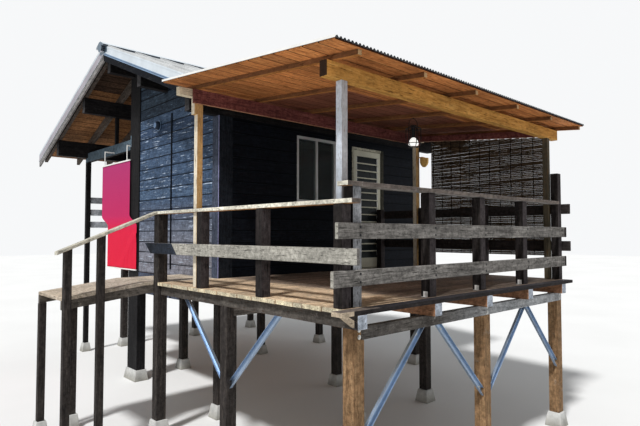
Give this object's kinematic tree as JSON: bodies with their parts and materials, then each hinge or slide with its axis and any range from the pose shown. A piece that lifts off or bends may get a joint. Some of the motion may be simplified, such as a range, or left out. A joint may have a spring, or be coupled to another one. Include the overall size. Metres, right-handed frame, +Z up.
{
  "type": "stilt house",
  "caption": "Small timber house on stilts with a railed front deck under a lean-to porch roof, a side ramp and an open entry bay with a red shade.",
  "frame": {"origin": "middle of the footprint's bounding box at ground level", "axes": "+X right along the deck front, +Y from the deck front back to the house, +Z up"},
  "size_m": [7.05, 9.7218, 5.6365],
  "materials": {
    "concrete": "cast, matt",
    "red_wood": "oiled",
    "dark_wood": "weathered dark stain",
    "grey_wood": "weathered grey",
    "deck_wood": "sun bleached",
    "pale_wood": "planed",
    "porch_wood": "oiled golden brown",
    "wall_boards": "blue grey stain",
    "floor_wood": "satin",
    "galvanised": "galvanised",
    "roof_metal": "satin pale grey",
    "cream_paint": "painted cream",
    "window_alu": "anodised",
    "glass": "clear, dark behind",
    "reed": "dry reed",
    "black_iron": "black paint",
    "opal_glass": "opal white",
    "red_cloth": "ribbed outdoor cloth",
    "white_bar": "gloss white",
    "lamp_shell": "translucent amber",
    "hinge_steel": "brushed"
  },
  "bodies": {
    "house": {"pier_blocks": "concrete", "front_stilts": "red_wood", "rear_stilts": "dark_wood", "steel_braces": "galvanised", "girders": "grey_wood", "deck_joists": "red_wood", "deck_boards": "deck_wood", "front_deck_board": "dark_wood", "rail_posts": "dark_wood", "handrails": "grey_wood", "rail_planks": "grey_wood", "ramp_deck": "deck_wood", "ramp_bearers": "dark_wood", "porch_posts": "pale_wood", "porch_beams": "porch_wood", "porch_ledger": "red_wood", "porch_rafters": "porch_wood", "porch_ceiling": "porch_wood", "porch_roof_sheet": "roof_metal", "reed_screen": "reed", "sill_beams": "red_wood", "house_floor": "floor_wood", "front_wall": "wall_boards", "door_side_wall": "wall_boards", "door_head_wall": "wall_boards", "gable_wall": "wall_boards", "far_gable_wall": "wall_boards", "back_wall": "wall_boards", "entry_walls": "wall_boards", "entry_door": "dark_wood", "wall_trims": "wall_boards", "entry_frame": "dark_wood", "purlins": "dark_wood", "rafters": "dark_wood", "roof_boards": "porch_wood", "roof_sheets": "roof_metal", "roof_trims": "roof_metal", "barge_boards": "grey_wood", "door_frame": "cream_paint", "door_hinges": "hinge_steel", "window_frames": "window_alu", "window_glass": "glass", "entry_shade": "red_cloth", "shade_bars": "white_bar", "hanging_lantern": "black_iron", "lantern_globe": "opal_glass", "house_lamps": "lamp_shell"},
    "door": {"door_leaf": "cream_paint", "door_louvres": "glass", "door_handle": "hinge_steel"}
  },
  "joints": [
    {"name": "deck_door", "type": "hinge", "parent": "house", "child": "door", "pos_m": [1.784, -1.4261, 1.872], "axis": [0, 0, -1], "range_deg": [0, 100]}
  ]
}
